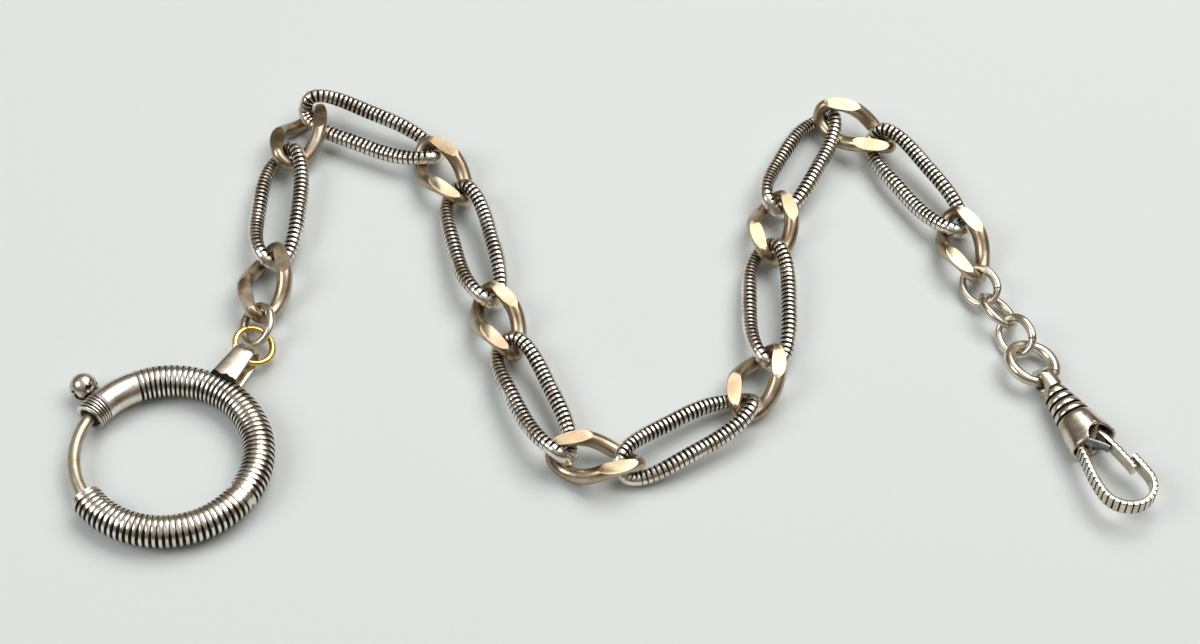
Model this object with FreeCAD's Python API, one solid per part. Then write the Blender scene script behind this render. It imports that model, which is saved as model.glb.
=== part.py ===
import FreeCAD, Part
import math
import os

os.makedirs("parts", exist_ok=True)

Vector = FreeCAD.Vector
Rotation = FreeCAD.Rotation

# A pocket-watch chain laid out on a table, in millimetres, +Z up.
# Spring ring on the -X side, swivel clasp on the +X side, seventeen curb links between them.

# ---- spring ring ----
ring_radius = 12.7            # centreline of the tube
tube_radius = 2.25
tube_bore = 1.75              # radius of the hollow inside the tube
ring_height = 2.25            # centreline above the table
upper_mouth = 158.0           # degrees round the ring where the tube ends above the gap
lower_mouth = 222.0           # degrees round the ring where the tube starts again
mouth_wall = 4.0              # degrees of solid metal that close each mouth
bolt_radius = 0.9
bolt_clearance = 0.06         # radial, between bolt and mouth
bolt_tip = 229.0
bolt_tail = 118.0
piston_length = 5.0           # degrees of the bolt's guide head
piston_radius = 1.68
knob_angle = 144.0
knob_radius = 1.85
knob_gap = 0.08               # between the ball and the tube
knob_stem_radius = 0.5
bolt_travel = 60.0            # degrees
slot_half_height = 0.6
spring_turns = 20
spring_coil_radius = 1.25
spring_wire_radius = 0.2
stop_angle = -14.0
stop_length = 6.0             # degrees

# ---- bail of the spring ring ----
bail_angle = 66.5
bail_reach = 21.3             # from the ring's centre to the outer end of the strap
bail_height = 4.2
bail_thickness = 0.75
bail_foot_width = 3.6
bail_end_width = 2.2

# ---- links: centreline length, centreline width, squareness, twist at each end, wire radius ----
link_kinds = {
    "long": {"length": 22.4, "width": 6.0, "squareness": 2.5, "twist": 45.0, "wire": 1.05, "height": 2.75},
    "short": {"length": 12.4, "width": 5.7, "squareness": 2.3, "twist": 45.0, "wire": 0.95, "height": 2.75},
    "oval": {"length": 6.3, "width": 4.9, "squareness": 2.1, "twist": 0.0, "wire": 0.55, "height": 2.1},
    "clasp": {"length": 7.1, "width": 7.1, "squareness": 2.0, "twist": 0.0, "wire": 0.75, "height": 2.0},
    "jump": {"length": 5.6, "width": 5.6, "squareness": 2.0, "twist": 0.0, "wire": 0.42, "height": 2.2},
}
short_flat = 1.8              # half the thickness that the short links are filed down to
crown_rise = 0.02             # mm that two hooked crowns part in height per degree of bend
outline_points = 17           # points of half a link's centreline
sweep_tolerance = 0.001       # mm, how closely a swept wire follows its centreline
joint_lift = {"long_link_7": 0.5, "short_link_8": 0.4}    # mm that the joint after a link lies above the usual height

# How each link lies: name, kind, heading and roll in degrees, and to the next link
# the play along the chain and the shift across it.
chain = [
    ("jump_ring", "jump", 78, 22, 0.9, 0.2),
    ("oval_link_1", "oval", 101, -36, 0.3, -0.3),
    ("short_link_1", "short", 89, -6, 0.5, 0.0),
    ("long_link_1", "long", 93, -2, 0.5, 0.0),
    ("short_link_2", "short", 74, -9, -0.3, 0.2),
    ("long_link_2", "long", -17, 9, 0.6, -0.2),
    ("short_link_3", "short", -54, 2, 0.4, 0.0),
    ("long_link_3", "long", -71, -1, 0.4, 0.0),
    ("short_link_4", "short", -66, -1, 0.6, 0.0),
    ("long_link_4", "long", -62, -7, 0.3, 0.0),
    ("short_link_5", "short", -4, 2, 0.5, 0.0),
    ("long_link_5", "long", 38, 1, 0.5, 0.0),
    ("short_link_6", "short", 70, -4, 0.4, -0.1),
    ("long_link_6", "long", 93, -1, 0.4, 0.0),
    ("short_link_7", "short", 85, 1, 0.5, 0.1),
    ("long_link_7", "long", 69, -4, -0.3, -0.3),
    ("short_link_8", "short", -23, 15, 1.1, -0.1),
    ("long_link_8", "long", -52, 10, 1.5, 0.0),
    ("short_link_9", "short", -73, 5, 0.2, -0.3),
    ("oval_link_2", "oval", -58, 33, 0.1, -0.1),
    ("oval_link_3", "oval", -55, -32, 0.1, -0.3),
    ("oval_link_4", "oval", -60, 43, 0.1, -0.3),
    ("clasp_ring", "clasp", -60, -13, 0.0, 0.0),
]
jump_start = (8.15, 17.5)     # the jump ring's wire inside the bail, from the ring's centre

# ---- swivel clasp, in its own frame: x along the clasp from the barrel's small end ----
clasp_heading = -59.0
clasp_pitch = 3.5             # degrees that the clasp rises towards its hook
barrel_length = 10.5
barrel_small_radius = 1.8
barrel_end_half_width = 3.6
barrel_end_half_height = 2.8
barrel_wall = 0.5
barrel_floor = 1.2            # thickness of the wall at the small end
groove_count = 4
groove_start = 1.0
groove_pitch = 1.3
groove_width = 0.5
groove_depth = 0.28
notch_radius = 2.2
neck_radius = 0.84
neck_clearance = 0.06
neck_head_radius = 1.15
neck_head_length = 0.6
eye_hole_radius = 1.36
eye_thickness = 0.7
eye_width = 2.1
eye_gap = 0.12                # between the eye's base and the barrel
eye_slack = 0.15              # from the middle of the eye's hole to the middle of the ring's wire
hook_width = 2.2
hook_thickness = 1.0
hook_half_span = 3.9          # centreline of the hook's round end
hook_round_centre = 18.6
hook_root = (6.8, -1.9)
hook_leave = (10.6, -2.55)    # where the strap comes out of the barrel
hook_tip = (15.0, 3.65)
gate_pivot = (8.4, 1.4)
gate_tip = (16.9, 2.55)
gate_thickness = 0.9
gate_width = 2.0
gate_knuckle_radius = 0.95
pin_radius = 0.45
pin_clearance = 0.05
leaf_thickness = 0.25
leaf_width = 1.4
cut_margin = 5.0              # how far cutting tools reach past the metal


def polar(radius, angle, height=0.0):
    """Point at an angle in degrees round the Z axis."""
    turn = math.radians(angle)
    return Vector(radius * math.cos(turn), radius * math.sin(turn), height)


def ring_sector(section_radius, start, end):
    """Solid arc of round section on the spring ring's centreline."""
    circle = Part.Circle(Vector(ring_radius, 0, ring_height), Vector(0, 1, 0), section_radius)
    face = Part.Face(Part.Wire([circle.toShape()]))
    face.rotate(Vector(0, 0, 0), Vector(0, 0, 1), start)
    return face.revolve(Vector(0, 0, 0), Vector(0, 0, 1), end - start)


def sweep(path_edges, section_radius):
    """Solid of round section along joined edges."""
    path = Part.Wire(path_edges)
    first = path_edges[0]
    start = first.valueAt(first.FirstParameter)
    along = first.tangentAt(first.FirstParameter)
    circle = Part.Wire([Part.Circle(start, along, section_radius).toShape()])
    shell = Part.BRepOffsetAPI.MakePipeShell(path)
    shell.add(circle)
    shell.setTolerance(sweep_tolerance, sweep_tolerance, sweep_tolerance)
    shell.build()
    shell.makeSolid()
    return shell.shape()


def build_ring_tube():
    tube_start = lower_mouth - 360
    outer = ring_sector(tube_radius, tube_start, upper_mouth)
    hollow = ring_sector(tube_bore, tube_start + mouth_wall, upper_mouth - mouth_wall)
    channel = ring_sector(bolt_radius + bolt_clearance, tube_start - mouth_wall, upper_mouth + mouth_wall)
    slot_reach = math.degrees((knob_stem_radius + bolt_clearance) / (ring_radius + tube_bore))
    slot_start = knob_angle - bolt_travel - slot_reach
    slot = Part.makeBox(
        tube_radius + cut_margin, 0.001, 2 * slot_half_height,
        Vector(ring_radius, 0, ring_height - slot_half_height),
    ).Faces[2]
    slot.rotate(Vector(0, 0, 0), Vector(0, 0, 1), slot_start)
    slot = slot.revolve(Vector(0, 0, 0), Vector(0, 0, 1), bolt_travel + 2 * slot_reach)
    return outer.cut(hollow).cut(channel).cut(slot)


def build_ring_bolt():
    wire = ring_sector(bolt_radius, bolt_tail, bolt_tip)
    piston = ring_sector(piston_radius, bolt_tail, bolt_tail + piston_length)
    return wire.fuse(piston).removeSplitter()


def build_bolt_knob():
    outward = polar(1, knob_angle)
    middle = polar(ring_radius + tube_radius + knob_gap + knob_radius, knob_angle, ring_height)
    ball = Part.makeSphere(knob_radius, middle)
    foot = polar(ring_radius, knob_angle, ring_height)
    stem = Part.makeCylinder(knob_stem_radius, tube_radius + knob_radius, foot, outward)
    bolt = ring_sector(bolt_radius, knob_angle - piston_length, knob_angle + piston_length)
    return ball.fuse(stem).cut(bolt)


def build_bolt_spring():
    points_per_turn = 9
    start = stop_angle + 1.2
    end = bolt_tail - 1.2
    points = []
    for step in range(spring_turns * points_per_turn + 1):
        share = step / (spring_turns * points_per_turn)
        along = start + (end - start) * share
        turn = 2 * math.pi * step / points_per_turn
        out = ring_radius + spring_coil_radius * math.cos(turn)
        points.append(polar(out, along, ring_height + spring_coil_radius * math.sin(turn)))
    curve = Part.BSplineCurve()
    curve.interpolate(points)
    return sweep([curve.toShape()], spring_wire_radius)


def build_spring_stop():
    return ring_sector(tube_bore, stop_angle - stop_length, stop_angle)


def slot_face(start, end, half_height, across):
    """Stadium in the XZ plane with its round ends at x = start and x = end."""
    left = start + half_height
    right = end - half_height
    top = Part.LineSegment(Vector(left, across, half_height), Vector(right, across, half_height))
    nose = Part.Arc(Vector(right, across, half_height), Vector(end, across, 0), Vector(right, across, -half_height))
    bottom = Part.LineSegment(Vector(right, across, -half_height), Vector(left, across, -half_height))
    heel = Part.Arc(Vector(left, across, -half_height), Vector(start, across, 0), Vector(left, across, half_height))
    return Part.Face(Part.Wire([edge.toShape() for edge in (top, nose, bottom, heel)]))


def build_ring_bail():
    foot = ring_radius + tube_radius - 2 * bail_thickness
    half_foot = bail_foot_width / 2
    half_end = bail_end_width / 2
    outer = slot_face(foot - bail_height / 2, bail_reach, bail_height / 2, -half_foot)
    inner = slot_face(
        foot - bail_height / 2 + bail_thickness, bail_reach - bail_thickness,
        bail_height / 2 - bail_thickness, -half_foot,
    )
    strap = outer.cut(inner).extrude(Vector(0, bail_foot_width, 0))
    corners = [
        Vector(foot - bail_height, -half_foot, -bail_height),
        Vector(foot + bail_thickness, -half_foot, -bail_height),
        Vector(bail_reach + bail_thickness, -half_end, -bail_height),
        Vector(bail_reach + bail_thickness, half_end, -bail_height),
        Vector(foot + bail_thickness, half_foot, -bail_height),
        Vector(foot - bail_height, half_foot, -bail_height),
    ]
    taper = Part.Face(Part.makePolygon(corners + corners[:1])).extrude(Vector(0, 0, 2 * bail_height))
    strap = strap.common(taper)
    strap.rotate(Vector(0, 0, 0), Vector(0, 0, 1), bail_angle)
    strap.translate(Vector(0, 0, ring_height))
    inside = Part.makeCylinder(ring_radius, 2 * bail_height, Vector(0, 0, -bail_height))
    return strap.cut(ring_sector(tube_radius, 0, 360)).cut(inside)


def half_outline(kind):
    """Half of a link's centreline, from the middle of one arm round an end to the other arm."""
    half_length = kind["length"] / 2
    half_width = kind["width"] / 2
    power = 2 / kind["squareness"]
    points = []
    for step in range(outline_points):
        turn = math.pi / 2 - math.pi * step / (outline_points - 1)
        along = half_length * abs(math.cos(turn)) ** power
        across = math.copysign(half_width * abs(math.sin(turn)) ** power, math.sin(turn))
        roll = -math.radians(kind["twist"]) * math.sin(math.pi / 2 * along / half_length)
        points.append(Vector(along, across * math.cos(roll), across * math.sin(roll)))
    slope = -math.radians(kind["twist"]) * math.pi / 2 * half_width / half_length
    curve = Part.BSplineCurve()
    curve.interpolate(
        Points=points,
        InitialTangent=Vector(1, 0, slope),
        FinalTangent=Vector(-1, 0, slope),
    )
    return curve.toShape()


def build_link(kind_name):
    """A closed wire link at the origin, lying along X and twisted the same way at both ends."""
    kind = link_kinds[kind_name]
    if kind["squareness"] == 2.0 and kind["length"] == kind["width"]:
        return Part.makeTorus(kind["length"] / 2, kind["wire"])
    half = sweep([half_outline(kind)], kind["wire"])
    other = half.copy()
    other.rotate(Vector(0, 0, 0), Vector(0, 0, 1), 180)
    link = half.fuse(other)
    if kind_name == "short":
        slab = Part.makeBox(
            kind["length"] * 2, kind["width"] * 2, 2 * short_flat,
            Vector(-kind["length"], -kind["width"], -short_flat),
        )
        link = link.common(slab)
    return link


def lie_of(heading, pitch, roll):
    """Rotation of a link: roll about its length, then pitch, then heading."""
    turn = Rotation(Vector(0, 0, 1), heading)
    tip = Rotation(Vector(0, -1, 0), pitch)
    lean = Rotation(Vector(1, 0, 0), roll)
    return turn.multiply(tip).multiply(lean)


def lay_chain():
    """Place every link so that its near crown hooks inside the far crown of the one before."""
    places = {}
    kinds = [link_kinds[entry[1]] for entry in chain]
    bends = []
    for index in range(len(chain) - 1):
        bend = chain[index + 1][2] - chain[index][2]
        bends.append((bend + 180) % 360 - 180)
    near = Vector(jump_start[0], jump_start[1], kinds[0]["height"])
    for index, (name, kind_name, heading, roll, play, shift) in enumerate(chain):
        kind = kinds[index]
        far_height = kind["height"]
        if index < len(bends):
            joint_height = (kind["height"] + kinds[index + 1]["height"]) / 2 + joint_lift.get(name, 0.0)
            far_height = joint_height + crown_rise * bends[index] / 2
        pitch = math.degrees(math.asin((far_height - near.z) / kind["length"]))
        lie = lie_of(heading, pitch, roll)
        along = lie.multVec(Vector(1, 0, 0))
        far = near + along * kind["length"]
        places[name] = {"middle": near + along * (kind["length"] / 2), "lie": lie, "near": near, "far": far}
        if index < len(bends):
            bisector = heading + bends[index] / 2
            hook_depth = kind["wire"] + kinds[index + 1]["wire"] + play
            near = far - polar(hook_depth, bisector) + polar(shift, bisector + 90)
            near.z = joint_height - crown_rise * bends[index] / 2
    return places


def build_barrel():
    def ellipse_wire(at, half_width, half_height):
        if half_width - half_height < 0.001:
            curve = Part.Circle(Vector(at, 0, 0), Vector(1, 0, 0), half_width)
        else:
            curve = Part.Ellipse(Vector(at, half_width, 0), Vector(at, 0, half_height), Vector(at, 0, 0))
        return Part.Wire([curve.toShape()])

    def cone(start, end, inset):
        sections = []
        for share in (start, (start + end) / 2, end):
            wide = barrel_small_radius + (barrel_end_half_width - barrel_small_radius) * share
            high = barrel_small_radius + (barrel_end_half_height - barrel_small_radius) * share
            sections.append(ellipse_wire(barrel_length * share, wide - inset, high - inset * 0.999))
        return Part.makeLoft(sections, True, False)

    outer = cone(0.0, 1.0, 0.0)
    hollow = cone(barrel_floor / barrel_length, 1.1, barrel_wall)
    hole = Part.makeCylinder(neck_radius + neck_clearance, barrel_length, Vector(-cut_margin, 0, 0), Vector(1, 0, 0))
    barrel = outer.cut(hollow).cut(hole)
    core = cone(0.0, 1.0, groove_depth)
    for index in range(groove_count):
        at = groove_start + groove_pitch * index
        band = Part.makeCylinder(2 * barrel_end_half_width, groove_width, Vector(at, 0, 0), Vector(1, 0, 0))
        barrel = barrel.cut(band.cut(core))
    notch = Part.makeCylinder(
        notch_radius, 2 * cut_margin, Vector(barrel_length + notch_radius * 0.2, 0.75, -cut_margin),
    )
    pin_hole = Part.makeCylinder(
        pin_radius, 2 * cut_margin, Vector(gate_pivot[0], gate_pivot[1], -cut_margin),
    )
    return barrel.cut(notch).cut(pin_hole), outer


def strap(edges, thickness, width):
    """Flat strap: a centreline in the XY plane, thickened in it and extruded across it."""
    line = Part.Wire(edges)
    start = edges[0].valueAt(edges[0].FirstParameter)
    along = edges[0].tangentAt(edges[0].FirstParameter)
    side = Vector(-along.y, along.x, 0)
    corners = [
        start + side * (thickness / 2) + Vector(0, 0, width / 2),
        start + side * (thickness / 2) - Vector(0, 0, width / 2),
        start - side * (thickness / 2) - Vector(0, 0, width / 2),
        start - side * (thickness / 2) + Vector(0, 0, width / 2),
    ]
    section = Part.makePolygon(corners + corners[:1])
    shell = Part.BRepOffsetAPI.MakePipeShell(line)
    shell.setBiNormalMode(Vector(0, 0, 1))
    shell.add(section)
    shell.build()
    shell.makeSolid()
    return shell.shape()


def build_hook():
    lower = Vector(hook_round_centre, -hook_half_span, 0)
    upper = Vector(hook_round_centre, hook_half_span, 0)
    leave = Vector(hook_leave[0], hook_leave[1], 0)
    shank = Part.BezierCurve()
    shank.setPoles([leave, Vector(13.0, -2.95, 0), Vector(15.6, -hook_half_span, 0), lower])
    round_end = Part.Arc(lower, Vector(hook_round_centre + hook_half_span, 0, 0), upper)
    lip = Part.BezierCurve()
    lip.setPoles([upper, Vector(17.4, hook_half_span, 0), Vector(hook_tip[0], hook_tip[1], 0)])
    root = Part.BezierCurve()
    root.setPoles([Vector(hook_root[0], hook_root[1], 0), Vector(8.7, -2.25, 0), leave])
    return strap([root.toShape(), shank.toShape(), round_end.toShape(), lip.toShape()], hook_thickness, hook_width)


def build_gate():
    pivot = Vector(gate_pivot[0], gate_pivot[1], 0)
    line = Part.BezierCurve()
    line.setPoles([pivot, Vector(12.5, 2.5, 0), Vector(gate_tip[0], gate_tip[1], 0)])
    lever = strap([line.toShape()], gate_thickness, gate_width)
    knuckle = Part.makeCylinder(gate_knuckle_radius, gate_width, pivot - Vector(0, 0, gate_width / 2))
    bore = Part.makeCylinder(pin_radius + pin_clearance, 2 * gate_width, pivot - Vector(0, 0, gate_width))
    return lever.fuse(knuckle).cut(bore).removeSplitter()


def build_gate_pin(barrel_outside):
    pin = Part.makeCylinder(
        pin_radius, 2 * cut_margin, Vector(gate_pivot[0], gate_pivot[1], -cut_margin),
    )
    return pin.common(barrel_outside)


def build_gate_spring():
    line = Part.BezierCurve()
    line.setPoles([Vector(7.2, -1.32, 0), Vector(9.6, -1.7, 0), Vector(10.2, 0.6, 0), Vector(12.2, 1.42, 0)])
    return strap([line.toShape()], leaf_thickness, leaf_width)


def build_eye():
    hole_at = -(eye_gap + eye_thickness + eye_hole_radius)
    outer_radius = eye_hole_radius + eye_thickness
    loop = Part.makeCylinder(outer_radius, eye_width, Vector(hole_at, -eye_width / 2, 0), Vector(0, 1, 0))
    base = Part.makeBox(
        -hole_at - eye_gap, eye_width, 2 * outer_radius, Vector(hole_at, -eye_width / 2, -outer_radius),
    )
    round_base = Part.makeCylinder(outer_radius, 4 * outer_radius, Vector(-2 * outer_radius - eye_gap, 0, 0), Vector(1, 0, 0))
    body = loop.fuse(base).common(round_base)
    hole = Part.makeCylinder(eye_hole_radius, 2 * eye_width, Vector(hole_at, -eye_width, 0), Vector(0, 1, 0))
    head_at = barrel_floor + eye_gap
    neck = Part.makeCylinder(neck_radius, head_at + eye_gap + neck_head_length / 2, Vector(-eye_gap, 0, 0), Vector(1, 0, 0))
    head = Part.makeCylinder(neck_head_radius, neck_head_length, Vector(head_at, 0, 0), Vector(1, 0, 0))
    return body.cut(hole).fuse(neck).fuse(head).removeSplitter(), hole_at


def build_all():
    nodes = {
        "ring_tube": build_ring_tube(),
        "ring_bolt": build_ring_bolt(),
        "bolt_knob": build_bolt_knob(),
        "bolt_spring": build_bolt_spring(),
        "spring_stop": build_spring_stop(),
        "ring_bail": build_ring_bail(),
    }
    places = lay_chain()
    patterns = {}
    for name, kind_name, *_ in chain:
        if kind_name not in patterns:
            patterns[kind_name] = build_link(kind_name)
        link = patterns[kind_name].copy()
        link.Placement = FreeCAD.Placement(places[name]["middle"], places[name]["lie"])
        nodes[name] = link

    barrel, barrel_outside = build_barrel()
    hook = build_hook()
    eye, hole_at = build_eye()
    clasp_nodes = {
        "swivel_eye": eye,
        "clasp_barrel": barrel.cut(hook),
        "clasp_hook": hook,
        "hook_gate": build_gate(),
        "gate_pin": build_gate_pin(barrel_outside),
        "gate_spring": build_gate_spring(),
    }
    clasp_lie = lie_of(clasp_heading, clasp_pitch, 0)
    clasp_origin = places["clasp_ring"]["far"] - clasp_lie.multVec(Vector(hole_at - eye_slack, 0, 0))
    for name, shape in clasp_nodes.items():
        shape.Placement = FreeCAD.Placement(clasp_origin, clasp_lie).multiply(shape.Placement)
        nodes[name] = shape

    whole = FreeCAD.BoundBox()
    for shape in nodes.values():
        whole.add(shape.optimalBoundingBox(False))
    stand = Vector(-whole.Center.x, -whole.Center.y, -whole.ZMin)
    for shape in nodes.values():
        shape.translate(stand)
    frames = {"stand": stand, "places": places, "clasp_origin": clasp_origin, "clasp_lie": clasp_lie}
    return nodes, frames


all_nodes, joint_frames = build_all()
for node_name, node_shape in all_nodes.items():
    node_shape.exportStep("parts/" + node_name + ".step")
    print(node_name, node_shape.isValid(), len(node_shape.Solids), round(node_shape.Volume, 2))
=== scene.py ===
import bpy
import bmesh
import math
import random
from mathutils import Matrix, Quaternion, Vector, noise


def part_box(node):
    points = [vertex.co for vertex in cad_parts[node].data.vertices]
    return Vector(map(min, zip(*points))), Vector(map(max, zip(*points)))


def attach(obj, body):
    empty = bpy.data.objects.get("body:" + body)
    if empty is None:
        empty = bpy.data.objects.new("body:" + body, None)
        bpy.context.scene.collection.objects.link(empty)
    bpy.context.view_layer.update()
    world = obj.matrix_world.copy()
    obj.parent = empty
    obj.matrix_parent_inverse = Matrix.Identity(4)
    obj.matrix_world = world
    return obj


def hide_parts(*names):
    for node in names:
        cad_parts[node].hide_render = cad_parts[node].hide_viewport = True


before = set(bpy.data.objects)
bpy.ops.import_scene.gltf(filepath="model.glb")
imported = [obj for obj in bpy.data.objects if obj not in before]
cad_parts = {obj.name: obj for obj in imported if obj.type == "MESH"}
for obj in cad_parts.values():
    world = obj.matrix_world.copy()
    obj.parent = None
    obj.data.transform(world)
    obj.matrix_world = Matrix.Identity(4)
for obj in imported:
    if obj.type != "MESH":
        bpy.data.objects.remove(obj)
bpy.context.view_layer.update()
mm = 0.001


# ---- where things lie: the same rules as the frame, in millimetres until a mesh is made ----

springRing = {
    "centreline": 12.7, "tube": 2.25, "height": 2.25, "cavity": 1.75, "mouthHole": 0.96,
    "upperMouth": 158.0, "lowerMouth": 222.0, "mouthWall": 4.0,
    "ribs": 72, "ribDepth": 0.03, "collarStart": 147.0, "smoothEnd": 119.0, "collars": 5, "seamAt": -27.0,
    "slotFrom": 82.0, "slotTo": 146.0, "slotHalf": 0.6, "segments": 44,
}
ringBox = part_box("ring_tube")
ringReach = springRing["centreline"] + springRing["tube"]
home = Vector((ringBox[1].x / mm - ringReach, ringBox[0].y / mm + ringReach, ringBox[0].z / mm))

linkKinds = {
    "long": {
        "length": 22.4, "width": 6.0, "squareness": 3.1, "twist": 45.0, "twistPower": 2.2, "wire": 1.05, "height": 2.75,
    },
    "short": {"length": 12.4, "width": 5.7, "squareness": 2.3, "twist": 45.0, "wire": 0.95, "height": 2.75},
    "oval": {"length": 6.3, "width": 4.9, "squareness": 2.1, "twist": 0.0, "wire": 0.55, "height": 2.1},
    "clasp": {"length": 7.1, "width": 7.1, "squareness": 2.0, "twist": 0.0, "wire": 0.75, "height": 2.0},
    "jump": {"length": 5.6, "width": 5.6, "squareness": 2.0, "twist": 0.0, "wire": 0.42, "height": 2.2},
}
# name, kind, heading, roll, play to the next link, shift across
chain = [
    ("jump_ring", "jump", 78, 22, 0.9, 0.2),
    ("oval_link_1", "oval", 101, -36, 0.3, -0.3),
    ("short_link_1", "short", 89, -6, 0.5, 0.0),
    ("long_link_1", "long", 93, -2, 0.5, 0.0),
    ("short_link_2", "short", 74, -9, -0.3, 0.2),
    ("long_link_2", "long", -17, 9, 0.6, -0.2),
    ("short_link_3", "short", -54, 2, 0.4, 0.0),
    ("long_link_3", "long", -71, -1, 0.4, 0.0),
    ("short_link_4", "short", -66, -1, 0.6, 0.0),
    ("long_link_4", "long", -62, -7, 0.3, 0.0),
    ("short_link_5", "short", -4, 2, 0.5, 0.0),
    ("long_link_5", "long", 38, 1, 0.5, 0.0),
    ("short_link_6", "short", 70, -4, 0.4, -0.1),
    ("long_link_6", "long", 93, -1, 0.4, 0.0),
    ("short_link_7", "short", 85, 1, 0.5, 0.1),
    ("long_link_7", "long", 69, -4, -0.3, -0.3),
    ("short_link_8", "short", -23, 15, 1.1, -0.1),
    ("long_link_8", "long", -52, 10, 1.5, 0.0),
    ("short_link_9", "short", -73, 5, 0.2, -0.3),
    ("oval_link_2", "oval", -58, 33, 0.1, -0.1),
    ("oval_link_3", "oval", -55, -32, 0.1, -0.3),
    ("oval_link_4", "oval", -60, 43, 0.1, -0.3),
    ("clasp_ring", "clasp", -60, -13, 0.0, 0.0),
]
jumpStart = (8.15, 17.5)
crownRise = 0.02
jointLift = {"long_link_7": 0.5, "short_link_8": 0.4}


def lieOf(heading, pitch, roll):
    turn = Matrix.Rotation(math.radians(heading), 4, "Z")
    tip = Matrix.Rotation(math.radians(-pitch), 4, "Y")
    lean = Matrix.Rotation(math.radians(roll), 4, "X")
    return turn @ tip @ lean


def flatPolar(radius, degrees):
    return Vector((radius * math.cos(math.radians(degrees)), radius * math.sin(math.radians(degrees)), 0))


def layChain():
    places = {}
    near = Vector((jumpStart[0], jumpStart[1], linkKinds["jump"]["height"]))
    for index, (name, kindName, heading, roll, play, shift) in enumerate(chain):
        kind = linkKinds[kindName]
        farHeight = kind["height"]
        last = index == len(chain) - 1
        if not last:
            following = linkKinds[chain[index + 1][1]]
            bend = (chain[index + 1][2] - heading + 180) % 360 - 180
            jointHeight = (kind["height"] + following["height"]) / 2 + jointLift.get(name, 0.0)
            farHeight = jointHeight + crownRise * bend / 2
        pitch = math.degrees(math.asin((farHeight - near.z) / kind["length"]))
        lie = lieOf(heading, pitch, roll)
        far = near + lie @ Vector((kind["length"], 0, 0))
        places[name] = Matrix.Translation(home + (near + far) / 2) @ lie
        places[name + "Far"] = home + far
        if not last:
            bisector = heading + bend / 2
            depth = kind["wire"] + following["wire"] + play
            near = far - flatPolar(depth, bisector) + flatPolar(shift, bisector + 90)
            near.z = jointHeight - crownRise * bend / 2
    return places


places = layChain()
print("stage: chain laid,", len(chain), "links")


# ---- sweeping: one loop is extruded from station to station ----

def stationsAlong(points, closed):
    # placements whose Z runs along the line and whose X keeps as still as it can
    count = len(points)
    tangents = []
    for index in range(count):
        ahead = points[(index + 1) % count] if closed else points[min(index + 1, count - 1)]
        behind = points[index - 1] if closed or index else points[0]
        tangents.append((ahead - behind).normalized())
    side = tangents[0].orthogonal().normalized()
    placed = []
    for point, tangent in zip(points, tangents):
        side = (side - tangent * side.dot(tangent)).normalized()
        across = tangent.cross(side)
        turned = Matrix((side, across, tangent)).transposed().to_4x4()
        placed.append(Matrix.Translation(point) @ turned)
    return placed


def circleLoop(mesh, segments):
    made = bmesh.ops.create_circle(mesh, segments=segments, radius=1.0, cap_ends=False)
    return list({edge for vert in made["verts"] for edge in vert.link_edges})


def roundedLoop(mesh, rounding, segments):
    made = bmesh.ops.create_grid(mesh, x_segments=1, y_segments=1, size=0.5)
    bmesh.ops.bevel(
        mesh, geom=made["verts"], offset=rounding, offset_type="OFFSET", affect="VERTICES",
        segments=segments, profile=0.5, material=-1,
    )
    face = mesh.faces[:][-1]
    edges = list(face.edges)
    bmesh.ops.delete(mesh, geom=[face], context="FACES_ONLY")
    return edges


def sweepLoop(mesh, edges, stations, closed, shade=None):
    # stations are matrices, size included; shade(index, vert) sets how dark each point lies
    layer = mesh.verts.layers.float.get("grooveBlackAndShade") or mesh.verts.layers.float.new("grooveBlackAndShade")
    verts = list({vert for edge in edges for vert in edge.verts})
    bmesh.ops.transform(mesh, matrix=stations[0], verts=verts)
    first = edges
    if shade:
        for vert in verts:
            vert[layer] = shade(0, vert.co)
    for index in range(1, len(stations)):
        made = bmesh.ops.extrude_edge_only(mesh, edges=edges)["geom"]
        verts = [item for item in made if isinstance(item, bmesh.types.BMVert)]
        edges = [
            item for item in made
            if isinstance(item, bmesh.types.BMEdge) and item.verts[0] in verts and item.verts[1] in verts
        ]
        step = stations[index] @ stations[index - 1].inverted()
        bmesh.ops.transform(mesh, matrix=step, verts=verts)
        if shade:
            for vert in verts:
                vert[layer] = shade(index, vert.co)
    if closed:
        bmesh.ops.bridge_loops(mesh, edges=first + edges)
    else:
        for loop in (first, edges):
            bmesh.ops.contextual_create(mesh, geom=loop)
    return mesh


def sized(matrix, wide, high=None):
    return matrix @ Matrix.Diagonal((wide, wide if high is None else high, 1.0, 1.0))


def pieceFrom(mesh, name, smoothAngle=40.0):
    # millimetres become metres here, and the object stays at the origin
    bmesh.ops.scale(mesh, vec=(mm, mm, mm), verts=mesh.verts)
    bmesh.ops.recalc_face_normals(mesh, faces=mesh.faces)
    data = bpy.data.meshes.new(name)
    mesh.to_mesh(data)
    mesh.free()
    data.shade_smooth()
    if smoothAngle:
        data.set_sharp_from_angle(angle=math.radians(smoothAngle))
    piece = bpy.data.objects.new(name, data)
    bpy.context.scene.collection.objects.link(piece)
    return piece


def cutWith(piece, cutter):
    modifier = piece.modifiers.new("cut", "BOOLEAN")
    modifier.object = cutter
    modifier.operation = "DIFFERENCE"
    modifier.solver = "EXACT"
    bpy.context.view_layer.update()
    graph = bpy.context.evaluated_depsgraph_get()
    result = bpy.data.meshes.new_from_object(piece.evaluated_get(graph))
    piece.modifiers.clear()
    piece.data = result
    bpy.data.objects.remove(cutter)


# ---- finishes ----

def newMaterial(name):
    material = bpy.data.materials.new(name)
    material.use_nodes = True
    tree = material.node_tree
    tree.nodes.clear()
    shader = tree.nodes.new("ShaderNodeBsdfPrincipled")
    output = tree.nodes.new("ShaderNodeOutputMaterial")
    tree.links.new(shader.outputs["BSDF"], output.inputs["Surface"])
    return material, tree, shader


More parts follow.
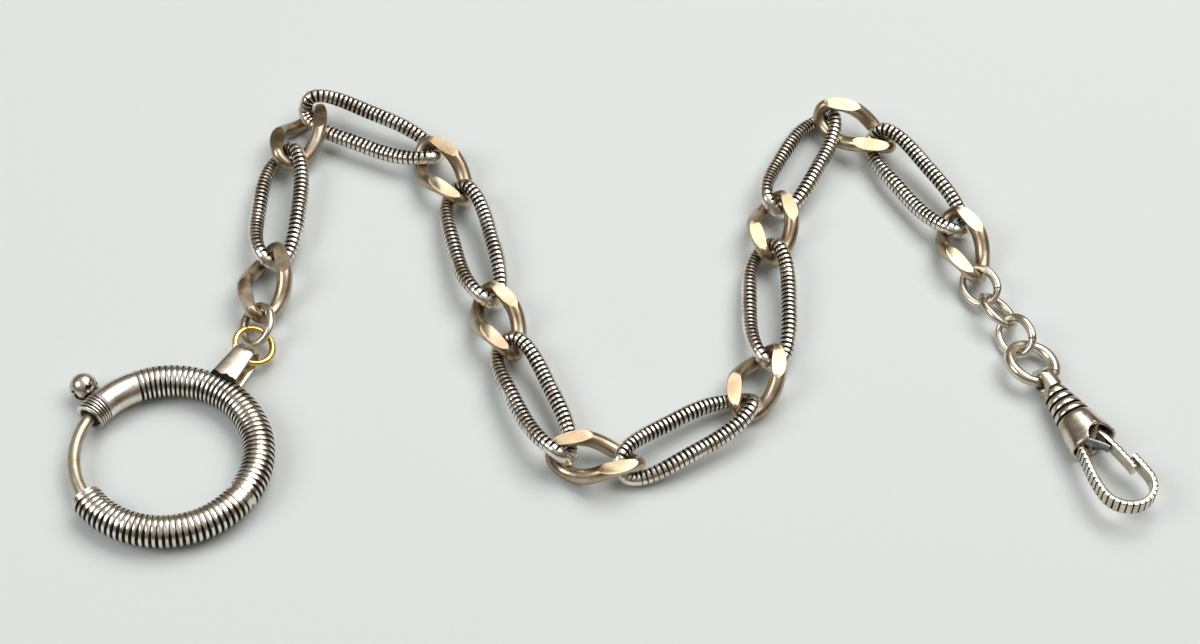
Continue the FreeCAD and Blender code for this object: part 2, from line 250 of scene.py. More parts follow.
def noiseNode(tree, coords, scale, detail, roughness=0.5, stretch=None):
    source = coords
    if stretch:
        mapping = tree.nodes.new("ShaderNodeMapping")
        mapping.inputs["Scale"].default_value = stretch
        tree.links.new(coords, mapping.inputs["Vector"])
        source = mapping.outputs["Vector"]
    node = tree.nodes.new("ShaderNodeTexNoise")
    node.inputs["Scale"].default_value = scale
    node.inputs["Detail"].default_value = detail
    node.inputs["Roughness"].default_value = roughness
    tree.links.new(source, node.inputs["Vector"])
    return node.outputs["Fac"]


def rampNode(tree, value, stops):
    ramp = tree.nodes.new("ShaderNodeValToRGB")
    elements = ramp.color_ramp.elements
    while len(elements) < len(stops):
        elements.new(0.5)
    for element, (at, colour) in zip(elements, stops):
        element.position = at
        element.color = (*colour, 1.0) if len(colour) == 3 else colour
    tree.links.new(value, ramp.inputs["Fac"])
    return ramp.outputs["Color"]


def rangeNode(tree, value, fromLow, fromHigh, toLow, toHigh):
    node = tree.nodes.new("ShaderNodeMapRange")
    node.inputs["From Min"].default_value = fromLow
    node.inputs["From Max"].default_value = fromHigh
    node.inputs["To Min"].default_value = toLow
    node.inputs["To Max"].default_value = toHigh
    tree.links.new(value, node.inputs["Value"])
    return node.outputs["Result"]


def mathNode(tree, operation, first, second):
    node = tree.nodes.new("ShaderNodeMath")
    node.operation = operation
    for socket, value in zip(node.inputs, (first, second)):
        if isinstance(value, float):
            socket.default_value = value
        else:
            tree.links.new(value, socket)
    return node.outputs["Value"]


def mixColour(tree, factor, first, second, blend="MIX"):
    node = tree.nodes.new("ShaderNodeMix")
    node.data_type = "RGBA"
    node.blend_type = blend
    for name, value in (("Factor", factor), ("A", first), ("B", second)):
        socket = [item for item in node.inputs if item.name == name and (name == "Factor" or item.type == "RGBA")][0]
        if isinstance(value, float):
            socket.default_value = value
        elif isinstance(value, tuple):
            socket.default_value = (*value, 1.0)
        else:
            tree.links.new(value, socket)
    return [item for item in node.outputs if item.type == "RGBA"][0]


def agedMetal(name, finish):
    # polished old metal: patchy tint, soft rubbed gloss, hairlines, and black from a vertex attribute: tarnish left in
    # the cuts, and painted shade inside holes, hollows and under the knob
    material, tree, shader = newMaterial(name)
    coords = tree.nodes.new("ShaderNodeTexCoord").outputs["Object"]
    patches = noiseNode(tree, coords, finish["patchScale"], 3.0, 0.55)
    tint = rampNode(tree, patches, [
        (0.30, finish["shade"]), (0.52, finish["body"]), (0.72, finish["bright"]),
    ])
    specks = noiseNode(tree, coords, 2600.0, 2.0, 0.6)
    speckMask = rangeNode(tree, specks, 0.62, 0.74, 0.0, finish["speck"])
    tint = mixColour(tree, speckMask, tint, finish["dirt"])
    attribute = tree.nodes.new("ShaderNodeAttribute")
    attribute.attribute_name = "grooveBlackAndShade"
    breakUp = noiseNode(tree, coords, 900.0, 3.0, 0.6)
    depth = mathNode(tree, "ADD", attribute.outputs["Fac"], rangeNode(tree, breakUp, 0.3, 0.7, -0.09, 0.09))
    black = rangeNode(tree, depth, 0.40, 0.56, 0.0, 1.0)
    colour = mixColour(tree, black, tint, finish["black"])
    tree.links.new(colour, shader.inputs["Base Color"])
    rub = noiseNode(tree, coords, 420.0, 4.0, 0.65)
    gloss = rangeNode(tree, rub, 0.3, 0.7, finish["glossy"], finish["dull"])
    tree.links.new(mathNode(tree, "ADD", gloss, mathNode(tree, "MULTIPLY", black, 0.35)), shader.inputs["Roughness"])
    hairlines = noiseNode(tree, coords, 700.0, 3.0, 0.7, (0.35, 3.2, 1.6))
    dents = noiseNode(tree, coords, 520.0, 2.0, 0.5)
    height = mathNode(tree, "ADD", mathNode(tree, "MULTIPLY", hairlines, 0.35), dents)
    bump = tree.nodes.new("ShaderNodeBump")
    bump.inputs["Strength"].default_value = finish["bump"]
    bump.inputs["Distance"].default_value = 0.00006
    tree.links.new(height, bump.inputs["Height"])
    tree.links.new(bump.outputs["Normal"], shader.inputs["Normal"])
    shader.inputs["Metallic"].default_value = 1.0
    return material


finishes = {
    "ribbedSilver": {
        "shade": (0.62, 0.54, 0.43), "body": (0.80, 0.75, 0.66), "bright": (0.92, 0.90, 0.85),
        "dirt": (0.20, 0.16, 0.11), "black": (0.018, 0.015, 0.012), "patchScale": 260.0, "speck": 0.5,
        "glossy": 0.17, "dull": 0.34, "bump": 0.25,
    },
    "filedSilver": {
        "shade": (0.28, 0.20, 0.12), "body": (0.45, 0.36, 0.25), "bright": (0.62, 0.54, 0.43),
        "dirt": (0.16, 0.11, 0.07), "black": (0.020, 0.016, 0.012), "patchScale": 210.0, "speck": 0.6,
        "glossy": 0.22, "dull": 0.40, "bump": 0.30,
    },
    "plainSilver": {
        "shade": (0.44, 0.37, 0.28), "body": (0.66, 0.60, 0.50), "bright": (0.84, 0.80, 0.72),
        "dirt": (0.18, 0.14, 0.10), "black": (0.020, 0.017, 0.014), "patchScale": 300.0, "speck": 0.5,
        "glossy": 0.18, "dull": 0.36, "bump": 0.25,
    },
    "mattSilver": {
        "shade": (0.40, 0.33, 0.24), "body": (0.56, 0.49, 0.38), "bright": (0.72, 0.66, 0.55),
        "dirt": (0.20, 0.15, 0.10), "black": (0.020, 0.017, 0.014), "patchScale": 300.0, "speck": 0.4,
        "glossy": 0.34, "dull": 0.50, "bump": 0.3,
    },
    "yellowGold": {
        "shade": (0.62, 0.38, 0.11), "body": (0.86, 0.60, 0.22), "bright": (0.96, 0.76, 0.38),
        "dirt": (0.25, 0.14, 0.04), "black": (0.10, 0.05, 0.015), "patchScale": 420.0, "speck": 0.3,
        "glossy": 0.12, "dull": 0.26, "bump": 0.2,
    },
    "springSteel": {
        "shade": (0.10, 0.10, 0.11), "body": (0.24, 0.24, 0.25), "bright": (0.40, 0.39, 0.38),
        "dirt": (0.12, 0.07, 0.04), "black": (0.02, 0.02, 0.02), "patchScale": 500.0, "speck": 0.6,
        "glossy": 0.25, "dull": 0.42, "bump": 0.2,
    },
}
metals = {name: agedMetal(name, finish) for name, finish in finishes.items()}
print("stage: finishes made")


def finishPiece(piece, metal, body, node, slot):
    piece.data.materials.clear()
    piece.data.materials.append(metals[metal])
    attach(piece, body)
    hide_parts(node)


# ---- the curb links ----

ribbedLink = {"ribPitch": 0.78, "ribDepth": 0.06, "segments": 24, "phases": (0.0, 0.25, 0.5, 0.75), "armSwell": 0.13}
phaseLift = {0.0: 0.0, 0.25: 0.75, 0.5: 1.0, 0.75: 0.75}      # how far each phase of a rib stands out
phaseCut = {0.0: 1.0, 0.25: 0.54, 0.5: 0.0, 0.75: 0.54}       # how black each phase lies before wear
plainLink = {"segments": 32, "stations": 96, "flat": 1.75, "armSwell": 0.22}


def linkPoint(kind, turn):
    # turn runs once round the link in radians, from the middle of the left arm
    power = 2 / kind["squareness"]
    along = math.sin(turn)
    across = math.cos(turn)
    x = math.copysign(kind["length"] / 2 * abs(along) ** power, along)
    y = math.copysign(kind["width"] / 2 * abs(across) ** power, across)
    share = x / (kind["length"] / 2)
    if "twistPower" in kind:
        share = math.copysign(abs(share) ** kind["twistPower"], share)      # straight arms, twist near the ends
    else:
        share = math.sin(math.pi / 2 * share)
    roll = -math.radians(kind["twist"]) * share
    return Vector((x, y * math.cos(roll), y * math.sin(roll)))


def evenPoints(kind, count):
    # equal steps along the wire
    fine = [linkPoint(kind, 2 * math.pi * step / 2400) for step in range(2400)]
    lengths = [0.0]
    for index in range(1, len(fine) + 1):
        lengths.append(lengths[-1] + (fine[index % len(fine)] - fine[index - 1]).length)
    points = []
    index = 0
    for step in range(count):
        want = lengths[-1] * step / count
        while lengths[index + 1] < want:
            index += 1
        share = (want - lengths[index]) / (lengths[index + 1] - lengths[index])
        points.append(fine[index].lerp(fine[(index + 1) % len(fine)], share))
    return points, lengths[-1]


def armShare(along):
    # 1 in the middle of an arm, 0 from 0.82 of the way to the crown
    return 1 - min(1.0, abs(along) / 0.82) ** 3


def ribbedLinkMesh(kind, seed):
    mesh = bmesh.new()
    ribs = round(evenPoints(kind, 8)[1] / ribbedLink["ribPitch"])
    phases = ribbedLink["phases"]
    fineCount = ribs * 20
    fine = evenPoints(kind, fineCount)[0]
    points = [fine[(rib * 20 + round(phase * 20)) % fineCount] for rib in range(ribs) for phase in phases]
    randomly = random.Random(seed)
    depths = [ribbedLink["ribDepth"] * randomly.uniform(0.8, 1.15) for rib in range(ribs)]
    halfLength = kind["length"] / 2
    stations = []
    for index, placed in enumerate(stationsAlong(points, True)):
        lift = phaseLift[phases[index % len(phases)]]
        worn = max(0.0, abs(points[index].x) / halfLength - 0.86) / 0.14      # ends rub on the next link
        depth = depths[index // len(phases)] * (1 - 0.45 * worn)
        swell = 1 + ribbedLink["armSwell"] * armShare(points[index].x / halfLength)
        stations.append(sized(placed, kind["wire"] * swell * (1 - depth * (1 - lift))))

    def shade(index, where):
        outward = (where - points[index]).normalized()
        endward = max(0.0, abs(points[index].x) / halfLength - 0.72) / 0.28
        rubbed = endward * max(0.0, outward.x * math.copysign(1.0, points[index].x) + 0.15) * 0.8
        side = outward.y * math.copysign(1.0, points[index].y)
        edge = 0.75 * min(1.0, max(0.0, (side - 0.25) / 0.5)) * (1.0 if points[index].y > 0 else 0.35)
        patch = 0.3 * max(0.0, noise.noise(where * 0.35 + Vector((seed, 0, 0))))
        return max(0.0, phaseCut[phases[index % len(phases)]] - rubbed - edge - patch)

    return sweepLoop(mesh, circleLoop(mesh, ribbedLink["segments"]), stations, True, shade)


def plainLinkMesh(kind, flat=None, seam=False):
    mesh = bmesh.new()
    points = evenPoints(kind, plainLink["stations"])[0]
    placed = stationsAlong(points, True)
    seamAt = plainLink["stations"] // 8
    stations = []
    for index, matrix in enumerate(placed):
        pinch = 0.94 if seam and index == seamAt else 1.0
        swell = plainLink["armSwell"] * armShare(points[index].x * 2 / kind["length"])
        stations.append(sized(matrix, kind["wire"] * (pinch + swell)))

    def shade(index, where):
        return 0.75 if seam and index == seamAt else 0.0

    sweepLoop(mesh, circleLoop(mesh, plainLink["segments"]), stations, True, shade)
    if flat:
        for sign in (1, -1):
            cut = bmesh.ops.bisect_plane(
                mesh, geom=mesh.verts[:] + mesh.edges[:] + mesh.faces[:], dist=0.0001,
                plane_co=(0, 0, sign * flat), plane_no=(0, 0, sign), clear_outer=True,
            )["geom_cut"]
            rim = [item for item in cut if isinstance(item, bmesh.types.BMEdge)]
            bmesh.ops.holes_fill(mesh, edges=rim, sides=0)
    return mesh


for index, (name, kindName, *rest) in enumerate(chain):
    kind = linkKinds[kindName]
    if kindName == "long":
        mesh = ribbedLinkMesh(kind, index)
        look, slotName = "ribbedSilver", "ribbed_silver"
    elif kindName == "short":
        mesh = plainLinkMesh(kind, flat=plainLink["flat"])
        look, slotName = "filedSilver", "filed_silver"
    elif kindName == "jump":
        mesh = plainLinkMesh(kind, seam=True)
        look, slotName = "yellowGold", "yellow_gold"
    else:
        mesh = plainLinkMesh(kind, seam=True)
        look, slotName = "plainSilver", "plain_silver"
    bmesh.ops.transform(mesh, matrix=places[name], verts=mesh.verts)
    link = pieceFrom(mesh, kindName + "Link" + str(index), 62.0 if kindName == "long" else 32.0)
    finishPiece(link, look, name, name, slotName)
print("stage: links made")


# ---- the spring ring ----

def ringStation(degrees, size):
    centre = flatPolar(springRing["centreline"], degrees) + Vector((0, 0, springRing["height"]))
    placed = Matrix.Translation(home + centre) @ Matrix.Rotation(math.radians(degrees), 4, "Z")
    return sized(placed @ Matrix.Rotation(math.radians(90), 4, "X"), size)


def makeRingTube():
    part = springRing
    mesh = bmesh.new()
    lowerEnd = part["lowerMouth"] - 360
    spots = []                                               # angle, size, groove
    span = part["upperMouth"] - part["collarStart"]
    spots.append((part["upperMouth"], part["tube"] * 0.955, 0.3))
    spots.append((part["upperMouth"] - 0.4, part["tube"], 0.0))
    for collar in range(part["collars"]):
        at = part["upperMouth"] - 1.4 - (span - 2.0) * collar / (part["collars"] - 1)
        spots += [(at + 0.75, part["tube"], 0.0), (at + 0.25, part["tube"] * 0.965, 0.9)]
        spots += [(at - 0.25, part["tube"] * 0.965, 0.9), (at - 0.75, part["tube"], 0.0)]
    smooth = 12
    for step in range(1, smooth):
        at = part["collarStart"] - 1.0 + (part["smoothEnd"] - part["collarStart"] + 1.0) * step / smooth
        spots.append((at, part["tube"], 0.0))
    ribSpan = (part["smoothEnd"] - lowerEnd - 0.6) / part["ribs"]
    for rib in range(part["ribs"]):
        start = part["smoothEnd"] - ribSpan * rib
        for phase in ribbedLink["phases"]:
            at = start - ribSpan * phase
            nick = 0.03 * math.exp(-((at - part["seamAt"]) / 2.2) ** 2)
            cut = part["ribDepth"] * (1 - phaseLift[phase])
            spots.append((at, part["tube"] * (1 - cut - nick), phaseCut[phase]))
    spots.append((lowerEnd + 0.3, part["tube"], 0.0))
    spots.append((lowerEnd, part["tube"] * 0.955, 0.3))
    # the mouth holes and the hollow inside the tube are painted near-black: painted shade
    spots.append((lowerEnd, part["mouthHole"], 0.8))
    spots.append((lowerEnd + part["mouthWall"], part["mouthHole"], 1.0))
    spots.append((lowerEnd + part["mouthWall"], part["cavity"], 1.0))
    inside = 60
    for step in range(1, inside):
        first = lowerEnd + part["mouthWall"]
        last = part["upperMouth"] - part["mouthWall"]
        spots.append((first + (last - first) * step / inside, part["cavity"], 1.0))
    spots.append((part["upperMouth"] - part["mouthWall"], part["cavity"], 1.0))
    spots.append((part["upperMouth"] - part["mouthWall"], part["mouthHole"], 1.0))
    spots.append((part["upperMouth"], part["mouthHole"], 0.8))

    def shade(index, where):
        angle, size, grooveBlackAndShade = spots[index]
        centre = home + flatPolar(part["centreline"], angle) + Vector((0, 0, part["height"]))
        outward = (where - centre).normalized()
        # inside the hollow the painted shade is kept whole
        if size <= part["cavity"]:
            return grooveBlackAndShade
        patch = noise.noise((where - home) * 0.22)
        crown = min(1.0, max(0.0, (outward.z - 0.74 + 0.3 * patch) / 0.2)) * 0.34
        seam = 0.9 * math.exp(-((angle - part["seamAt"]) / 2.6) ** 2) * max(0.0, 0.4 + outward.z)
        if angle > part["collarStart"] - 1.0:
            crown *= 0.3
        return max(0.0, grooveBlackAndShade - crown - seam - 0.08 * max(0.0, patch))

    stations = [ringStation(angle, size) for angle, size, grooveBlackAndShade in spots]
    sweepLoop(mesh, circleLoop(mesh, part["segments"]), stations, True, shade)
    tube = pieceFrom(mesh, "flutedTube", 50.0)

    cutter = bmesh.new()
    made = bmesh.ops.create_grid(cutter, x_segments=1, y_segments=1, size=1.0)
    reach = part["centreline"] + 0.3
    far = part["centreline"] + part["tube"] + 1.0
    bmesh.ops.scale(cutter, vec=((far - reach) / 2, part["slotHalf"], 1), verts=made["verts"])
    bmesh.ops.transform(
        cutter, verts=made["verts"],
        matrix=Matrix.Translation(home) @ Matrix.Rotation(math.radians(part["slotFrom"]), 4, "Z")
        @ Matrix.Translation(((far + reach) / 2, 0, part["height"])) @ Matrix.Rotation(math.radians(90), 4, "X"),
    )
    bmesh.ops.spin(
        cutter, geom=cutter.faces[:] + cutter.edges[:] + cutter.verts[:], cent=home, axis=(0, 0, 1),
        angle=math.radians(part["slotTo"] - part["slotFrom"]), steps=40, use_duplicate=False,
    )
    cutWith(tube, pieceFrom(cutter, "slotCutter"))
    return tube


tube = makeRingTube()
finishPiece(tube, "ribbedSilver", "spring_ring", "ring_tube", "fluted_silver")

bolt = {"wire": 0.9, "tip": 229.0, "tail": 118.0, "piston": 1.68, "pistonDegrees": 5.0, "segments": 32}


def makeBolt():
    mesh = bmesh.new()
    spots = [(bolt["tail"], bolt["piston"] * 0.9), (bolt["tail"] + 0.5, bolt["piston"])]
    spots += [(bolt["tail"] + bolt["pistonDegrees"] - 0.5, bolt["piston"])]
    spots += [(bolt["tail"] + bolt["pistonDegrees"], bolt["wire"])]
    steps = 60
    first = bolt["tail"] + bolt["pistonDegrees"] + 0.5
    for step in range(steps + 1):
        spots.append((first + (bolt["tip"] - 2.4 - first) * step / steps, bolt["wire"]))
    for share in (0.3, 0.6, 0.85, 1.0):
        spots.append((bolt["tip"] - 2.4 + 2.4 * share, bolt["wire"] * (1 - 0.35 * share ** 2)))
    stations = [ringStation(angle, size) for angle, size in spots]
    sweepLoop(mesh, circleLoop(mesh, bolt["segments"]), stations, False, lambda index, where: 0.0)
    return pieceFrom(mesh, "boltWire")


finishPiece(makeBolt(), "mattSilver", "bolt", "ring_bolt", "bright_silver")

knob = {"angle": 144.0, "radius": 1.98, "gap": 0.08, "stem": 0.5}


def makeKnob():
    mesh = bmesh.new()
    layer = mesh.verts.layers.float.new("grooveBlackAndShade")
    out = springRing["centreline"] + springRing["tube"] + knob["gap"] + knob["radius"]
    aim = Matrix.Translation(home) @ Matrix.Rotation(math.radians(knob["angle"]), 4, "Z")
    aim = aim @ Matrix.Translation((out, 0, springRing["height"])) @ Matrix.Rotation(math.radians(90), 4, "Y")
    ball = bmesh.ops.create_uvsphere(mesh, u_segments=64, v_segments=48, radius=knob["radius"], matrix=aim)
    ballCentre = aim.to_translation()
    axis = aim.to_3x3() @ Vector((0, 0, 1))
    # the ball is painted darker on its side towards the tube and towards the bottom: painted shade, broken up by noise
    # stains
    for vert in ball["verts"]:
        outward = (vert.co - ballCentre) / knob["radius"]
        stain = 0.55 * noise.noise(outward * 1.7) + 0.25 * noise.noise(outward * 5.0)
        vert[layer] = max(0.0, min(1.0, 0.28 - 0.5 * outward.dot(axis) - 0.25 * outward.z + stain))
    stemLength = knob["radius"] + springRing["tube"] - 1.0
    stem = bmesh.ops.create_cone(
        mesh, cap_ends=True, segments=24, radius1=knob["stem"], radius2=knob["stem"], depth=stemLength,
        matrix=aim @ Matrix.Translation((0, 0, -stemLength / 2)),
    )
    # the stem is painted near-black: painted shade inside the slot
    for vert in stem["verts"]:
        vert[layer] = 0.9
    return pieceFrom(mesh, "knobBall", 50.0)


finishPiece(makeKnob(), "plainSilver", "bolt", "bolt_knob", "worn_silver")

bail = {
    "angle": 66.5, "reach": 21.3, "height": 4.2, "thickness": 0.75,
    "footWidth": 3.9, "endWidth": 2.9, "rounding": 0.42,
}


def makeBail():
    # a tapered strap bent into a loop, from one foot on the tube over the end to the other foot
    mesh = bmesh.new()
    middle = bail["height"] / 2 - bail["thickness"] / 2
    roundAt = bail["reach"] - bail["height"] / 2
    foot = springRing["centreline"] + 1.15                   # short of the hollow that the bolt slides in
    outline = [(foot + (roundAt - foot) * step / 12, middle) for step in range(12)]
    for step in range(25):
        turn = math.pi / 2 - math.pi * step / 24
        outline.append((roundAt + middle * math.cos(turn), middle * math.sin(turn)))
    outline += [(roundAt - (roundAt - foot) * step / 12, -middle) for step in range(1, 13)]
    aim = Matrix.Translation(home) @ Matrix.Rotation(math.radians(bail["angle"]), 4, "Z")
    aim = aim @ Matrix.Translation((0, 0, springRing["height"]))
    stations = []
    for index, (along, up) in enumerate(outline):
        ahead = outline[min(index + 1, len(outline) - 1)]
        behind = outline[max(index - 1, 0)]
        lean = math.atan2(ahead[1] - behind[1], ahead[0] - behind[0])
        share = min(max((along - foot) / (bail["reach"] - foot), 0.0), 1.0)
        width = bail["footWidth"] + (bail["endWidth"] - bail["footWidth"]) * share
        placed = aim @ Matrix.Translation((along, 0, up)) @ Matrix.Rotation(-lean, 4, "Y")
        placed = placed @ Matrix.Rotation(math.radians(90), 4, "Y")
        stations.append(sized(placed, bail["thickness"] * 0.995, width * 0.995))

    def shade(index, where):
        along = outline[index][0]
        edge = springRing["centreline"] + springRing["tube"] - 0.1 + 0.5 * noise.noise((where - home) * 1.3)
        return max(0.0, min(1.0, (edge - along) / 0.6))

    sweepLoop(mesh, roundedLoop(mesh, bail["rounding"], 6), stations, False, shade)
    return pieceFrom(mesh, "bailStrap", 50.0)


finishPiece(makeBail(), "plainSilver", "spring_ring", "ring_bail", "worn_silver")
print("stage: spring ring made")


# ---- the swivel clasp, in its own frame: X along it from the barrel's small end ----

clasp = {"heading": -59.0, "pitch": 3.5, "eyeHole": 1.36, "eyeThickness": 0.7, "eyeGap": 0.12, "eyeSlack": 0.15}
holeAt = -(clasp["eyeGap"] + clasp["eyeThickness"] + clasp["eyeHole"])
claspLie = lieOf(clasp["heading"], clasp["pitch"], 0)
claspHome = places["clasp_ringFar"] - claspLie @ Vector((holeAt - clasp["eyeSlack"], 0, 0))
claspFrame = Matrix.Translation(claspHome) @ claspLie

barrel = {
    "length": 10.5, "small": 1.85, "endWide": 3.85, "endHigh": 2.95, "wall": 0.5, "floor": 1.2,
    "grooves": 4, "grooveStart": 1.0, "groovePitch": 1.3, "grooveWidth": 0.5, "grooveDepth": 0.28,
    "hole": 0.9, "notch": 2.2, "segments": 56,
}


def makeBarrel():
    mesh = bmesh.new()
    part = barrel

    def reach(at, inset):
        share = at / part["length"]
        wide = part["small"] + (part["endWide"] - part["small"]) * share - inset
        high = part["small"] + (part["endHigh"] - part["small"]) * share - inset
        return wide, high

    spots = [(0.0, 0.18, 0.1), (0.12, 0.04, 0.0), (0.3, 0.0, 0.0)]
    for index in range(part["grooves"]):
        at = part["grooveStart"] + part["groovePitch"] * index
        width = part["grooveWidth"]
        spots += [(at - 0.16, 0.0, 0.0), (at, 0.07, 0.35), (at + 0.06, part["grooveDepth"] * 0.98, 1.0)]
        spots += [(at + width - 0.06, part["grooveDepth"] * 0.98, 1.0), (at + width, 0.07, 0.35)]
        spots += [(at + width + 0.16, 0.0, 0.0)]
    start = part["grooveStart"] + part["groovePitch"] * part["grooves"]
    for step in range(9):
        spots.append((start + (part["length"] - 0.2 - start) * step / 8, 0.0, 0.0))
    spots.append((part["length"] - 0.05, 0.05, 0.0))
    spots.append((part["length"], 0.14, 0.0))
    # the inner wall is painted darker the deeper it lies, and the end hole near-black: painted shade inside the barrel
    spots.append((part["length"], part["wall"] - 0.08, 0.1))
    for step in range(7):
        at = part["length"] - 0.1 - (part["length"] - 0.1 - part["floor"]) * step / 6
        spots.append((at, part["wall"], 0.45 + 0.5 * step / 6))
    stations = []
    for at, inset, grooveBlackAndShade in spots:
        wide, high = reach(at, inset)
        placed = claspFrame @ Matrix.Translation((at, 0, 0)) @ Matrix.Rotation(math.radians(90), 4, "Y")
        stations.append(sized(placed, high, wide))
    shades = [grooveBlackAndShade for at, inset, grooveBlackAndShade in spots]
    for at in (part["floor"], 0.0):
        placed = claspFrame @ Matrix.Translation((at, 0, 0)) @ Matrix.Rotation(math.radians(90), 4, "Y")
        stations.append(sized(placed, part["hole"]))
        shades.append(0.9)
    sweepLoop(mesh, circleLoop(mesh, part["segments"]), stations, True, lambda index, where: shades[index])
    made = pieceFrom(mesh, "barrelShell", 40.0)
    cutter = bmesh.new()
    bmesh.ops.create_cone(
        cutter, cap_ends=True, segments=48, radius1=part["notch"], radius2=part["notch"], depth=5.0,
        matrix=claspFrame @ Matrix.Translation((part["length"] + part["notch"] * 0.2, 0.75, 2.5)),
    )
    cutWith(made, pieceFrom(cutter, "notchCutter"))
    return made


def bezierPoints(poles, count):
    points = []
    for step in range(count):
        share = step / (count - 1)
        level = [Vector((x, y, 0)) for x, y in poles]
        while len(level) > 1:
            level = [level[index].lerp(level[index + 1], share) for index in range(len(level) - 1)]
        points.append(level[0])
    return points


def evenLine(points, step):
    # the same line walked in equal steps
    line = [points[0]]
    left = step
    for start, end in zip(points, points[1:]):
        length = (end - start).length
        while length >= left:
            start = start.lerp(end, left / length)
            length -= left
            line.append(start)
            left = step
        left -= length
    return line


def strapMesh(line, thickness, width, ribs, outer, rounding=0.16, taper=None):
    # a flat strap in the XY plane; ribs are cut across its outer face, outer is the side they lie on
    mesh = bmesh.new()
    stations = []
    cuts = []
    for index, point in enumerate(line):
        ahead = line[min(index + 1, len(line) - 1)]
        behind = line[max(index - 1, 0)]
        lean = math.atan2(ahead.y - behind.y, ahead.x - behind.x)
        cut = {0: 1.0, 1: 0.35, 5: 0.35}.get(index % 6, 0.0) if ribs(index) else 0.0
        size = taper(index / (len(line) - 1)) if taper else 1.0
        placed = claspFrame @ Matrix.Translation(point) @ Matrix.Rotation(lean, 4, "Z")
        placed = placed @ Matrix.Translation((0, -outer * cut * 0.07, 0)) @ Matrix.Rotation(math.radians(90), 4, "Y")
        stations.append(sized(placed, width * size, (thickness - 0.14 * cut) * (0.5 + 0.5 * size)))
        cuts.append(cut)

    def shade(index, where):
        local = claspFrame.inverted() @ where
        ahead = line[min(index + 1, len(line) - 1)]
        behind = line[max(index - 1, 0)]
        along = (ahead - behind).normalized()
        out = Vector((-along.y, along.x, 0)) * outer
        faceOut = (local - line[index]).dot(out)
        return cuts[index] * (1.0 if faceOut > -0.2 * thickness else 0.0)

    return sweepLoop(mesh, roundedLoop(mesh, rounding, 3), stations, False, shade)


hook = {
    "width": 2.2, "thickness": 1.0, "span": 3.9, "centre": 18.6, "root": (6.8, -1.9), "leave": (10.6, -2.55),
    "tip": (15.0, 3.65), "step": 0.145,
}


def hookLine():
    span, centre = hook["span"], hook["centre"]
    points = bezierPoints([hook["root"], (8.7, -2.25), hook["leave"]], 12)
    points += bezierPoints([hook["leave"], (13.0, -2.95), (15.6, -span), (centre, -span)], 40)[1:]
    for step in range(1, 49):
        turn = -math.pi / 2 + math.pi * step / 48
        points.append(Vector((centre + span * math.cos(turn), span * math.sin(turn), 0)))
    points += bezierPoints([(centre, span), (17.4, span), hook["tip"]], 20)[1:]
    return evenLine(points, hook["step"])


line = hookLine()
hookPiece = pieceFrom(
    strapMesh(line, hook["thickness"] * 0.99, hook["width"] * 0.99, lambda index: line[index].x > 11.0, -1), "hookStrap", 45.0,
)
gate = {"pivot": (8.4, 1.4), "tip": (16.9, 2.55), "thickness": 0.9, "width": 2.0, "knuckle": 0.95, "step": 0.15}
gateLine = evenLine(bezierPoints([gate["pivot"], (12.5, 2.5), gate["tip"]], 40), gate["step"])


def makeGate():
    mesh = strapMesh(
        gateLine, gate["thickness"] * 0.99, gate["width"] * 0.99,
        lambda index: gateLine[index].x > 11.2, 1,
    )
    bmesh.ops.create_cone(
        mesh, cap_ends=True, segments=40, radius1=gate["knuckle"], radius2=gate["knuckle"], depth=gate["width"],
        matrix=claspFrame @ Matrix.Translation((gate["pivot"][0], gate["pivot"][1], 0)),
    )
    return pieceFrom(mesh, "gateLever", 45.0)


finishPiece(makeBarrel(), "plainSilver", "clasp", "clasp_barrel", "worn_silver")
finishPiece(hookPiece, "plainSilver", "clasp", "clasp_hook", "grooved_silver")
finishPiece(makeGate(), "plainSilver", "gate", "hook_gate", "grooved_silver")

keptNodes = {
    "swivel_eye": "plainSilver", "gate_pin": "plainSilver", "gate_spring": "springSteel",
    "bolt_spring": "springSteel", "spring_stop": "springSteel",
}
for nodeName, metal in keptNodes.items():
    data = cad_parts[nodeName].data
    data.materials.clear()
    data.materials.append(metals[metal])
print("stage: clasp made")


# ---- floor, light and camera ----

studio = {
    "floor": (0.615, 0.655, 0.655), "skyTop": (0.85, 0.84, 0.82), "skyLow": (0.20, 0.17, 0.14), "skyPower": 0.65,
    "look": (58.0, 31.0, 2.5), "above": 278.3, "south": 216.5, "lens": 72.0, "rollDegrees": 6.0,
}


def makeFloor():
    mesh = bmesh.new()
    bmesh.ops.create_grid(mesh, x_segments=2, y_segments=2, size=4000.0)
    floor = pieceFrom(mesh, "tableTop", 0)
    material, tree, shader = newMaterial("paleTable")
    coords = tree.nodes.new("ShaderNodeTexCoord").outputs["Object"]
    grain = noiseNode(tree, coords, 900.0, 4.0, 0.6)
    low = tuple(value * 0.985 for value in studio["floor"])
    tree.links.new(rampNode(tree, grain, [(0.3, low), (0.7, studio["floor"])]), shader.inputs["Base Color"])
    shader.inputs["Roughness"].default_value = 0.75
    floor.data.materials.append(material)


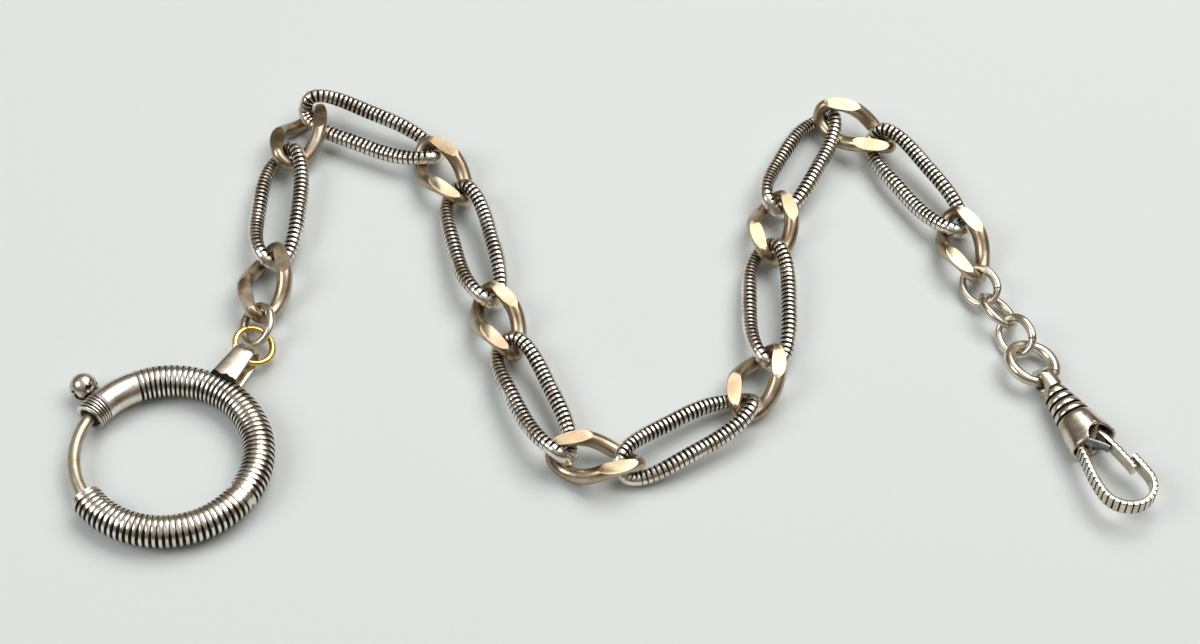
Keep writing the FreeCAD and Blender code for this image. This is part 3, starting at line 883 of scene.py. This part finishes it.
def makeSky():
    world = bpy.data.worlds.new("studioSky")
    bpy.context.scene.world = world
    world.use_nodes = True
    tree = world.node_tree
    background = tree.nodes["Background"]
    coords = tree.nodes.new("ShaderNodeTexCoord")
    split = tree.nodes.new("ShaderNodeSeparateXYZ")
    tree.links.new(coords.outputs["Generated"], split.inputs["Vector"])
    ramp = rampNode(tree, rangeNode(tree, split.outputs["Z"], -0.2, 1.0, 0.0, 1.0), [
        (0.0, studio["skyLow"]), (0.5, (0.22, 0.17, 0.12)), (1.0, studio["skyTop"]),
    ])
    tree.links.new(ramp, background.inputs["Color"])
    background.inputs["Strength"].default_value = studio["skyPower"]


def areaLight(name, place, size, power, colour):
    data = bpy.data.lights.new(name, "AREA")
    data.shape = "RECTANGLE"
    data.size, data.size_y = size
    data.energy = power
    data.color = colour
    light = bpy.data.objects.new(name, data)
    bpy.context.scene.collection.objects.link(light)
    light.location = place
    light.rotation_mode = "QUATERNION"
    light.rotation_quaternion = (-Vector(place)).to_track_quat("-Z", "Y")


def makeCamera():
    target = (home + Vector(studio["look"])) * mm
    data = bpy.data.cameras.new("viewCamera")
    data.lens = studio["lens"]
    data.sensor_width = 36.0
    data.clip_start, data.clip_end = 0.01, 20.0
    camera = bpy.data.objects.new("viewCamera", data)
    bpy.context.scene.collection.objects.link(camera)
    back = Vector((0, -studio["south"], studio["above"])) * mm
    camera.location = target + back
    level = Vector((1, 0, 0))
    upright = back.normalized().cross(level)
    roll = math.radians(studio["rollDegrees"])
    right = level * math.cos(roll) + upright * math.sin(roll)
    up = upright * math.cos(roll) - level * math.sin(roll)
    camera.rotation_mode = "QUATERNION"
    camera.rotation_quaternion = Matrix((right, up, back.normalized())).transposed().to_quaternion()
    bpy.context.scene.camera = camera


makeFloor()
makeSky()
areaLight("windowLight", (0.20, 0.24, 0.62), (0.75, 0.50), 4.5, (1.0, 0.985, 0.955))
areaLight("fillLight", (-0.50, -0.20, 0.50), (0.35, 0.35), 1.9, (0.95, 0.975, 1.0))
makeCamera()
bpy.context.scene.view_settings.view_transform = "Standard"
print("stage: floor, light and camera set")
